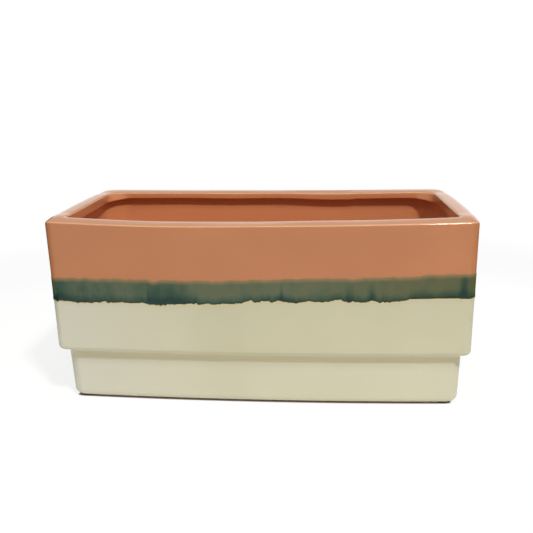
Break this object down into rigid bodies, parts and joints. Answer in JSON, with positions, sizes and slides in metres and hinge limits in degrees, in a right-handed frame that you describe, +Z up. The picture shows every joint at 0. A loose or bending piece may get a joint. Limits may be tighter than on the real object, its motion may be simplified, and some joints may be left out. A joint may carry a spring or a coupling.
{
  "type": "rectangular ceramic planter",
  "caption": "Long rectangular glazed ceramic planter with bowed sides, an in-turned rim, a stepped plinth, lift-out drain plugs and foot pads.",
  "frame": {"origin": "centre of the plane that the foot pads stand on", "axes": "+X along the planter's length, -Y towards its front, +Z up"},
  "size_m": [0.3056, 0.1526, 0.1374],
  "materials": {
    "bare_stoneware": "unglazed fired clay",
    "terracotta_glaze": "glossy",
    "cream_glaze": "satin",
    "teal_glaze": "glossy, running",
    "plug_rubber": "matte",
    "pad_felt": "felt"
  },
  "bodies": {
    "pot": {"stoneware_body": "bare_stoneware", "rim_glaze_coat": "terracotta_glaze", "inside_glaze_coat": "terracotta_glaze", "cream_glaze_coat": "cream_glaze", "teal_glaze_band": "teal_glaze", "foot_pad_front_left": "pad_felt", "foot_pad_front_right": "pad_felt", "foot_pad_back_left": "pad_felt", "foot_pad_back_right": "pad_felt"},
    "plug_left": {"drain_plug_left": "plug_rubber"},
    "plug_right": {"drain_plug_right": "plug_rubber"}
  },
  "joints": [
    {"name": "plug_left_lift", "type": "slide", "parent": "pot", "child": "plug_left", "axis": [0, 0, 1], "range_m": [0, 0.15]},
    {"name": "plug_right_lift", "type": "slide", "parent": "pot", "child": "plug_right", "axis": [0, 0, 1], "range_m": [0, 0.15]}
  ]
}
